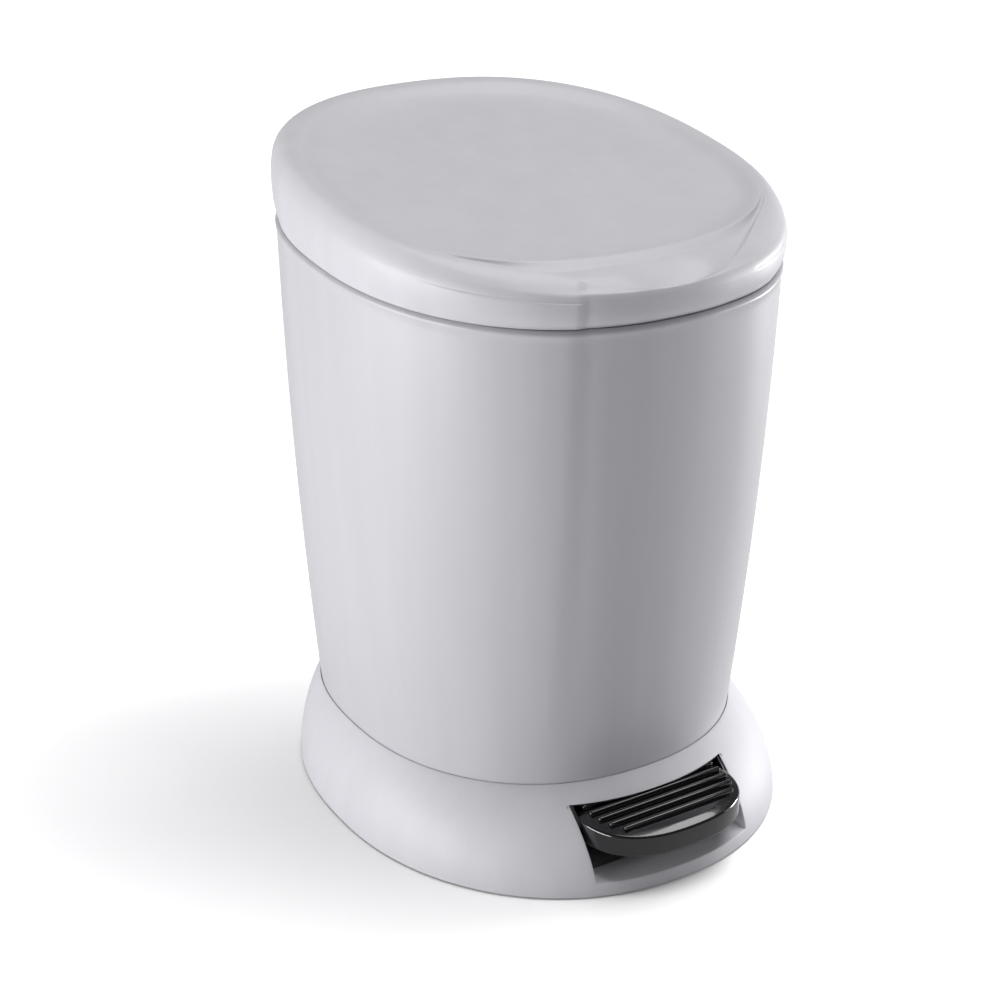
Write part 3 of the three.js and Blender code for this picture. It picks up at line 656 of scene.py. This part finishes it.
def lid_outside():
    """The outer face, from the lower edge over the shoulder and the scoop to the middle of the dish."""
    first = len(WALL_ROWS)
    rise = first + len(LEDGE_ROWS)
    face = rise + RISE_ROWS
    dish = face + FACE_ROWS
    # The ledge's, the rise's and the face's rows only have to be distinct: point() works them out.
    rows = WALL_ROWS + [(113.2, z) for z in LEDGE_ROWS]
    rows += [(113.1 - 0.2 * i, 308 + 0.1 * i) for i in range(RISE_ROWS + FACE_ROWS)] + DISH_ROWS
    start = shoulder_share(308)

    def point(turn, row):
        degrees = math.degrees(min(turn, 2 * math.pi - turn))
        if row < first or row >= dish:
            x, y, z, _, _ = on_lid(turn, *rows[row])
            return x, y, z
        ledge = eased((62 - degrees) / 24) * eased((degrees - 21) / 3)
        ledge *= 1 if turn > math.pi else LEDGE_RIGHT
        if row < rise:
            z = LEDGE_ROWS[row - first]
            radius = next(r for r, h in SHOULDER if h >= z)
            above = eased((z - 306.85) / 0.3)
            x, y, z, _, _ = on_lid(turn, radius - LEDGE_STEP * above * ledge, z)
            return x, y, z
        edge = scoop_share(turn)
        lip_radius, lip_z = shoulder_step(edge)
        if row < face:
            share = (row - rise) / (RISE_ROWS - 1)
            radius, z = shoulder_step(mix(start, edge, 1 - (1 - share) ** 1.6))
            radius -= LEDGE_STEP * ledge * (1 - share)
            sunk = 0.0
        else:
            share = (row - face + 1) / FACE_ROWS
            radius, z = mix(lip_radius, RIM_LINE["half"], share), mix(lip_z, RIM_Z, share)
            depth = SCOOP_SINK * eased((SCOOP_END - degrees) / 26)
            sunk = depth * math.sin(math.pi * share ** 0.8)
        x, y, z, panel, inward = on_lid(turn, radius, z)
        z -= sunk + LID_SINK * panel * eased(inward / 0.15) * (1 - eased((inward - 0.15) / 0.75))
        return x, y, z

    return rows, point


LID_EDGE = (110.3, 287.3)
INNER_WALL_ROWS = [(109.8, 288.5), (110.4, 292), (110.9, 296), (111.1, 299)]
LID_CEILING_ROWS = [(101, 315.1), (99.7, 314.7), (95, 313)]
LID_CEILING_ROWS += [(radius, 311.7) for radius in (91.7, 70, 40, 12, 0)]


def lid_cover():
    """The whole lid: from the ceiling down the inside, round the lower edge, and up the outside."""
    outer, outer_point = lid_outside()
    inner = INNER_WALL_ROWS + shoulder_rows(WALL)[::12] + LID_CEILING_ROWS
    edge = len(inner)
    # The inner rows are spun well below the outer ones, so that none are merged before they are placed.
    chain = [(radius, z - 400) for radius, z in [*reversed(inner), LID_EDGE]] + outer

    def point(turn, row):
        if row > edge:
            return outer_point(turn, row - edge - 1)
        if row == edge:
            x, y, z, _, _ = on_lid(turn, *LID_EDGE)
            return x, y, z
        radius, z = inner[edge - 1 - row]
        x, y, z, _, _ = on_lid(turn, radius, z, WALL)
        # Under the scoop the ceiling comes down with it.
        if y < -91 and abs(x) < PANEL_HALF:
            hollow = max(0, 1 - (x / PANEL_HALF) ** 2) * held((-91 - y) / 25)
            z = min(z, 303.6 - 11.8 * hollow - WALL)
        return x, y, z

    return turned(chain, panel_turns(), point)


KNUCKLE_ARM = [(127, 301), (130.6, 299.4), (131.4, 296), (134.8, 294), (138.7, 295), (134, 306), (127, 311)]


def lid_knuckle(side):
    """An arm from the lid's back with a barrel that turns on the hinge pin."""
    x = sorted((11 * side, 25 * side))
    arm = plate(KNUCKLE_ARM, x, 0.6)
    rows = [(1.6, 0), (3.5, 0), (4, 0.5), (4, 13.5), (3.5, 14), (1.6, 14), (1.6, 0)]
    barrel = round_bar(rows, (x[0], HINGE["y"], HINGE["z"]), (1, 0, 0))
    return joined(arm, barrel)


# ---- Pedal --------------------------------------------------------------------------------------
RIBS = dict(count=5, first=-126.4, pitch=6.4, half=1.35, foot=34.9, top=37.4)


def pad_reach(y):
    """Half the pad's width at this depth."""
    depth = (PAD["round"] - y) / (PAD["round"] - PAD["front"])
    return PAD["half"] * (1 - max(depth, 0) ** PAD["square"]) ** (1 / PAD["square"])


def pedal_pad():
    """The pad as rows of (inset from its outline, height), from the middle below to the middle on top."""
    under, top, half = PAD["under"], PAD["top"], PAD["half"]
    rows = [(half, under), (9, under)]
    for step in range(6):
        angle = math.pi / 2 * step / 5
        rows.append((1.6 * (1 - math.sin(angle)), under + 1.6 * (1 - math.cos(angle))))
    for step in range(7):
        angle = math.radians(65) * step / 6
        rows.append((1.9 * (1 - math.cos(angle)), top - 3.5 + 1.9 * math.sin(angle)))
    rows += [(4.2, top - 0.62), (4.9, top - 0.5), (12, top - 0.5), (half, top - 0.5)]

    def point(turn, row):
        inset, z = rows[row]
        side, ahead = math.sin(turn), math.cos(turn)
        power = 2 / (PAD["square"] if ahead > 0 else 9)
        depth = PAD["round"] - PAD["front"] if ahead > 0 else PAD["back"] - PAD["round"]
        x = (half - inset) * math.copysign(abs(side) ** power, side)
        return x, PAD["round"] - max(depth - inset, 0.5) * math.copysign(abs(ahead) ** power, ahead), z

    return turned([(half - inset, z) for inset, z in rows], even_turns(160), point)


def pedal_ribs():
    """The raised ribs across the pad, each ending short of its edge."""
    ribs = []
    for i in range(RIBS["count"]):
        y = RIBS["first"] + RIBS["pitch"] * i
        half = pad_reach(y) - 4.6
        depth = (y - RIBS["half"], y + RIBS["half"])
        ribs.append(block((-half, half), depth, (RIBS["foot"], RIBS["top"]), 1.0, 4))
    return joined(*ribs)


# ---- Pail and handle ----------------------------------------------------------------------------
def pail():
    """The inner pail: floor, wall and rolled rim, its rows set in from the body's outline."""
    outside = [(0, 48.6), (60, 48.6), (body_half(49) - 14, 48.6), (body_half(49) - 10.5, 49.2)]
    outside += [(body_half(50) - 7.8, 51), (body_half(53) - 6.7, 54)]
    outside += [(body_half(z) - 6.5, z) for z in list(range(60, 256, 14)) + [257.6]]
    outside += [(body_half(258) - 6.2, 258.3), (body_half(258) - 5.2, 258.7), (body_half(259) - 4.1, 259.1)]
    outside += [(body_half(260) - 3.6, 259.9), (body_half(261) - 3.5, 261), (body_half(262) - 3.9, 261.8)]
    outside += [(body_half(262) - 4.7, 262), (body_half(262) - 7.2, 262)]
    inside = [(body_half(261) - 8.1, 261.6), (body_half(260) - 8.3, 260.4)]
    inside += [(body_half(z) - 8.3, z) for z in list(range(248, 60, -14)) + [57]]
    inside += [(body_half(53) - 9.6, 53), (body_half(51) - 12, 51.2), (body_half(50) - 15.5, 50.6)]
    inside += [(50, 50.6), (0, 50.6)]
    rows = outside + inside
    flat = len(outside)

    def point(turn, row):
        radius, z = rows[row]
        x, y, z = body_point(turn, radius, z, 0)
        inset = body_half(z) - radius
        back = 104 - (inset - 6.5) / 2 if row < flat else 104 - (inset - 6.5)
        return x, soft_back(y, back), z

    return turned(rows, even_turns(240), point)


def soft_back(y, back):
    """Flattens the back of the pail with an eased corner."""
    over = y - (back - 4)
    return y if over <= 0 else back - 4 + 4 * (1 - math.exp(-over / 4))


EAR = dict(half=5, foot=261, inner=104.2, outer=107)


def pail_ears():
    """Two round-topped ears on the pail's rim that hold the ends of the wire."""
    y, half = BAIL["y"], EAR["half"]
    outline = [(y - half, EAR["foot"]), (y + half, EAR["foot"])]
    for i in range(15):
        angle = math.pi * i / 14
        outline.append((y + half * math.cos(angle), BAIL["z"] + half * math.sin(angle)))
    spans = [sorted((EAR["inner"] * side, EAR["outer"] * side)) for side in (-1, 1)]
    return joined(*[plate(outline, span, 0.5) for span in spans])


def bail_path():
    """The wire's middle line: in through one ear, round the back of the mouth, out through the other."""
    end = [(108, 0), (101.6, 0), (100, 3)]
    points = [(-x, BAIL["y"] + y, BAIL["z"]) for x, y in end]
    for i in range(25):
        turn = -math.pi / 2 + math.pi * (i + 0.5) / 25
        power = 2 / BAIL["square"]
        x = BAIL["half"] * math.copysign(abs(math.sin(turn)) ** power, turn)
        points.append((x, BAIL["y"] + BAIL["reach"] * abs(math.cos(turn)) ** power, BAIL["z"]))
    return points + [(x, BAIL["y"] + y, BAIL["z"]) for x, y in reversed(end)]


def wire_shape(points, radius):
    """A round wire along a smooth path, closed at both ends."""
    curve = bpy.data.curves.new("wire", "CURVE")
    curve.dimensions = "3D"
    spline = curve.splines.new("BEZIER")
    spline.bezier_points.add(len(points) - 1)
    for knot, co in zip(spline.bezier_points, points):
        knot.co = co
        knot.handle_left_type = knot.handle_right_type = "AUTO"
    curve.bevel_depth = radius
    curve.bevel_resolution = 5
    curve.resolution_u = 5
    curve.use_fill_caps = True
    holder = bpy.data.objects.new("wire", curve)
    mesh = bpy.data.meshes.new_from_object(holder)
    bm = bmesh.new()
    bm.from_mesh(mesh)
    bmesh.ops.remove_doubles(bm, verts=bm.verts, dist=1e-3)
    bmesh.ops.recalc_face_normals(bm, faces=bm.faces)
    bpy.data.objects.remove(holder)
    bpy.data.curves.remove(curve)
    bpy.data.meshes.remove(mesh)
    return bm


def bail_grip():
    """A ribbed sleeve on the middle of the wire."""
    rows = [(2.75, -32), (4.2, -32), (4.8, -31.7), (5, -31)]
    for i in range(12):
        x = -27.5 + 5 * i
        rows += [(5, x - 1.6), (4.55, x - 1.1), (4.5, x), (4.55, x + 1.1), (5, x + 1.6)]
    rows += [(5, 31), (4.8, 31.7), (4.2, 32), (2.75, 32), (2.75, -32)]
    return round_bar(rows, (0, 96.1, BAIL["z"]), (1, 0, 0), 36)


# ---- Small parts --------------------------------------------------------------------------------
def lid_ring():
    """The ring under the lid that centres it in the mouth, open at the back for the lever."""
    rows = [(body_half(z) - WALL - 1.2, z) for z in [282.1, 283.2, 288, 292.2, 293.1]]
    rows += [(body_half(z) - WALL - 2.8, z) for z in [293.1, 288, 283, 282.1]]
    bm = turned(rows, even_turns(240), lambda turn, row: body_point(turn, *rows[row]), closed=True)
    for x in [-18, 18]:
        geom = bm.verts[:] + bm.edges[:] + bm.faces[:]
        bmesh.ops.bisect_plane(bm, geom=geom, plane_co=(x, 0, 0), plane_no=(1, 0, 0), dist=1e-3)
    gap = [f for f in bm.faces if abs(f.calc_center_median().x) < 18 and f.calc_center_median().y > 60]
    bmesh.ops.delete(bm, geom=gap, context="FACES")
    bmesh.ops.holes_fill(bm, edges=[e for e in bm.edges if e.is_boundary], sides=0)
    bmesh.ops.recalc_face_normals(bm, faces=bm.faces)
    return bm


def rubber_foot(x, y):
    """A round pad with a dished middle."""
    rows = [(0, 0.5), (4.2, 0.5), (4.8, 0.05), (5.6, 0), (7.6, 0), (8.4, 0.25), (8.9, 0.8), (9, 1.4)]
    rows += [(9, 2.3), (0, 2.3)]
    return round_bar(rows, (x, y, 0), (0, 0, 1), 56)


def cut_driver_slot(bm, head, height):
    """Sinks a straight slot into the dome of a screw head that lies at the origin."""
    half, floor = 0.14 * head, 0.45 * height
    dome = [f for f in bm.faces if f.calc_center_median().z < floor]
    for side in (-half, half):
        cut = dict(plane_co=(0, side, 0), plane_no=(0, 1, 0), dist=1e-4)
        bmesh.ops.bisect_plane(bm, geom=with_bounds(dome), **cut)
        dome = [f for f in bm.faces if f.calc_center_median().z < floor]
    slot = [f for f in dome if abs(f.calc_center_median().y) < half]
    grown = bmesh.ops.extrude_face_region(bm, geom=slot)["geom"]
    for vert in grown:
        if isinstance(vert, bmesh.types.BMVert):
            vert.co.z = floor
    bmesh.ops.delete(bm, geom=slot, context="FACES")
    bmesh.ops.recalc_face_normals(bm, faces=bm.faces)


def pan_screw(place, along, head, height, shank, length):
    """A pan-head screw with a domed, slotted head and a threaded shank."""
    rows = [(0, 0), (head * 0.45, 0.02 * height), (head * 0.72, 0.1 * height), (head * 0.92, 0.4 * height)]
    rows += [(head, 0.75 * height), (head, height), (shank, height)]
    turns = int(length / 0.8)
    for i in range(turns):
        base = height + i * length / turns
        rows += [(shank, base + 0.3 * length / turns), (shank * 0.82, base + 0.8 * length / turns)]
    rows += [(shank * 0.5, height + length), (0, height + length)]
    bm = round_bar(rows, (0, 0, 0), (0, 0, 1), 32)
    cut_driver_slot(bm, head, height)
    aim = Vector((0, 0, 1)).rotation_difference(Vector(along)).to_matrix().to_4x4()
    bmesh.ops.transform(bm, matrix=Matrix.Translation(place) @ aim, verts=bm.verts)
    return bm


# ---- Build --------------------------------------------------------------------------------------
part("bin_body", body_shell(), BODY_PEARL, "base", "pearl_shell", ["outer_body"], 50)
part("base_shroud", base_skirt(), BASE_PEARL, "base", "pearl_shell", ["base_skirt"], 50)
part("pedal_sill", window_sill(), BASE_PEARL, "base", "pearl_shell")
part("lid_cover", lid_cover(), LID_PEARL, "lid", "pearl_shell", ["lid_shell"], 60)
for word, side in [("left", -1), ("right", 1)]:
    part("window_cheek_" + word, window_cheek(side), BASE_PEARL, "base", "pearl_shell")
    part("lid_knuckle_" + word, lid_knuckle(side), LID_PEARL, "lid", "pearl_shell")
part("lid_centring_ring", lid_ring(), LID_PEARL, "lid", "pearl_shell", ["lid_ring"])
part("pedal_plate", pedal_pad(), BLACK, "pedal", "pedal_black", ["pedal_pad"])
part("pedal_ribs", pedal_ribs(), BLACK, "pedal", "pedal_black")
part("pail", pail(), PAIL_GREY, "bucket", "bucket_grey", ["bucket"], 50)
part("pail_ears", pail_ears(), PAIL_GREY, "bucket", "bucket_grey")
part("handle_wire", wire_shape(bail_path(), BAIL["radius"]), WIRE_STEEL, "bail", "steel", ["bail_wire"])
part("handle_grip", bail_grip(), ROD_BLACK, "bail", "inner_black", ["bail_grip"])

FEET = [(-74, 74), (74, 74), (-74, -74), (74, -74)]
POSTS = [(-72, 48), (72, 48), (-66, -36), (66, -36)]
FLOOR_SCREW = dict(head=3.6, height=2.2, shank=1.8, length=38.8)
BRACKET_SCREW = dict(head=3, height=1.8, shank=1.4, length=6)
PAD_SCREW = dict(head=3, height=1.8, shank=1.5, length=7)
LEVER_SCREW = dict(head=3, height=1.8, shank=1.4, length=2.6)
for number, (x, y) in enumerate(FEET, 1):
    part(f"rubber_foot_{number}", rubber_foot(x, y), RUBBER, "base", "foot_rubber", [f"foot_{number}"])
for number, (x, y) in enumerate(POSTS, 1):
    screw = pan_screw((x, y, 5.4), (0, 0, 1), **FLOOR_SCREW)
    part(f"floor_screw_{number}", screw, SCREW_STEEL, "base", "steel", [f"base_screw_{number}"])
for word, side in [("left", -1), ("right", 1)]:
    screw = pan_screw((24 * side, 134, 272), (0, -1, 0), **BRACKET_SCREW)
    part("bracket_screw_" + word, screw, SCREW_STEEL, "base", "steel", ["hinge_screw_" + word])
    screw = pan_screw((7 * side, -110, 24.1), (0, 0, 1), **PAD_SCREW)
    part("pad_screw_" + word, screw, SCREW_STEEL, "pedal", "steel", ["pedal_screw_" + word])
    screw = pan_screw((13 * side, 119.4, 309), (0, 1, 0), **LEVER_SCREW)
    part("lever_screw_" + word, screw, SCREW_STEEL, "lid", "steel", ["lid_screw_" + word])

part("recess_lining", recess_lining(), RECESS_BLACK, "base", "inner_black", ["recess_liner"])
softened("base_plate", FRAME_GREY, "base", "inner_grey", 0.3)
softened("pivot_bracket_left", FRAME_GREY, "base", "inner_grey", 0.5)
softened("pivot_bracket_right", FRAME_GREY, "base", "inner_grey", 0.5)
softened("pedal_axle", ROD_STEEL, "base", "steel", 0.3)
softened("rod_guide_lower", FRAME_GREY, "base", "inner_grey", 0.3)
softened("rod_guide_upper", FRAME_GREY, "base", "inner_grey", 0.3)
softened("hinge_bracket", BODY_PEARL, "base", "pearl_shell", 0.5)
softened("hinge_pin", ROD_STEEL, "base", "steel", 0.25)
softened("pedal_lever", LEVER_STEEL, "pedal", "steel", 0.3)
softened("lift_rod", ROD_STEEL, "rod", "steel", 0.3)
softened("rod_head", ROD_BLACK, "rod", "inner_black", 0.3)
softened("rod_foot", ROD_BLACK, "rod", "inner_black", 0.4)
softened("lid_lever", FRAME_GREY, "lid", "inner_grey", 0.3)


# ---- Studio -------------------------------------------------------------------------------------
def studio_floor():
    """Pale paper: bright to look at, with a painted shadow that darkens it round a spot left of the bin, and
    a softer grey in what it sends back up to the bin.
    """
    bm = bmesh.new()
    bmesh.ops.create_grid(bm, x_segments=2, y_segments=2, size=40)
    mesh = bpy.data.meshes.new("studio_floor")
    bm.to_mesh(mesh)
    bm.free()
    material = bpy.data.materials.new("floor_paper")
    material.use_nodes = True
    tree = material.node_tree
    tree.nodes.clear()
    seen = Shade(tree, tree.nodes.new("ShaderNodeLightPath").outputs["Is Camera Ray"])
    bounced = seen.node("ShaderNodeBsdfDiffuse", inputs={"Color": (0.52, 0.52, 0.525, 1)})
    place = Shade(tree, tree.nodes.new("ShaderNodeTexCoord").outputs["Object"])
    # Painted shadow: what the camera sees of the paper goes from 0.82 grey round a spot left of the bin to
    # 1.16 further out.
    painted_shadow_spot = {0: place, 1: (-0.19, 0.1, 0)}
    distance = place.node("ShaderNodeVectorMath", {"operation": "DISTANCE"}, painted_shadow_spot, output=1)
    near = seen.node("ShaderNodeBsdfDiffuse", inputs={"Color": (0.82, 0.82, 0.825, 1)})
    far = seen.node("ShaderNodeBsdfDiffuse", inputs={"Color": (1.16, 1.16, 1.16, 1)})
    looked_at = seen.node("ShaderNodeMixShader", inputs={0: distance.band(0.03, 0.24), 1: near, 2: far})
    paper = seen.node("ShaderNodeMixShader", inputs={0: seen, 1: bounced, 2: looked_at})
    out = tree.nodes.new("ShaderNodeOutputMaterial")
    tree.links.new(paper.socket, out.inputs["Surface"])
    mesh.materials.append(material)
    floor = bpy.data.objects.new("studio_floor", mesh)
    bpy.context.scene.collection.objects.link(floor)


def aimed(thing, place, target):
    """Links a light or camera at a place, turned to the target."""
    thing.location = place
    thing.rotation_euler = (Vector(target) - Vector(place)).to_track_quat("-Z", "Y").to_euler()
    bpy.context.scene.collection.objects.link(thing)


def soft_box(name, place, size, watts, target):
    light = bpy.data.lights.new(name, "AREA")
    light.shape = "RECTANGLE"
    light.size, light.size_y = size
    light.energy = watts
    aimed(bpy.data.objects.new(name, light), place, target)


def sky_light(name, place, strength, spread):
    """A wide sun that stands for the soft light from above."""
    light = bpy.data.lights.new(name, "SUN")
    light.energy = strength
    light.angle = math.radians(spread)
    aimed(bpy.data.objects.new(name, light), place, (0, 0, 0))


def studio():
    """Floor, lights, surrounding white and camera."""
    studio_floor()
    sky_light("top_light", (0.6, 0.25, 2.5), 2.9, 50)
    soft_box("left_box", (-1.15, 0.05, 0.12), (1.0, 0.36), 15, (0, 0, 0.12))
    soft_box("right_box", (1.45, -0.3, 0.14), (0.5, 0.3), 20, (0, 0, 0.14))
    world = bpy.data.worlds.new("studio_air")
    world.use_nodes = True
    tree = world.node_tree
    tree.nodes.clear()
    seen = Shade(tree, tree.nodes.new("ShaderNodeLightPath").outputs["Is Camera Ray"])
    lit = seen.node("ShaderNodeBackground", inputs={"Color": (0.92, 0.93, 0.95, 1), "Strength": 0.15})
    backdrop = seen.node("ShaderNodeBackground", inputs={"Color": (1, 1, 1, 1), "Strength": 1.0})
    air = seen.node("ShaderNodeMixShader", inputs={0: seen, 1: lit, 2: backdrop})
    tree.links.new(air.socket, tree.nodes.new("ShaderNodeOutputWorld").inputs["Surface"])
    bpy.context.scene.world = world
    lens = bpy.data.cameras.new("view")
    lens.lens, lens.sensor_width, lens.shift_x = 73.73, 36, -0.0302
    lens.clip_end = 100
    camera = bpy.data.objects.new("view", lens)
    aimed(camera, (-0.5051, -0.7902, 0.5623), (0, 0.00565, 0.14735))
    bpy.context.scene.camera = camera
    bpy.context.scene.view_settings.view_transform = "Standard"


studio()
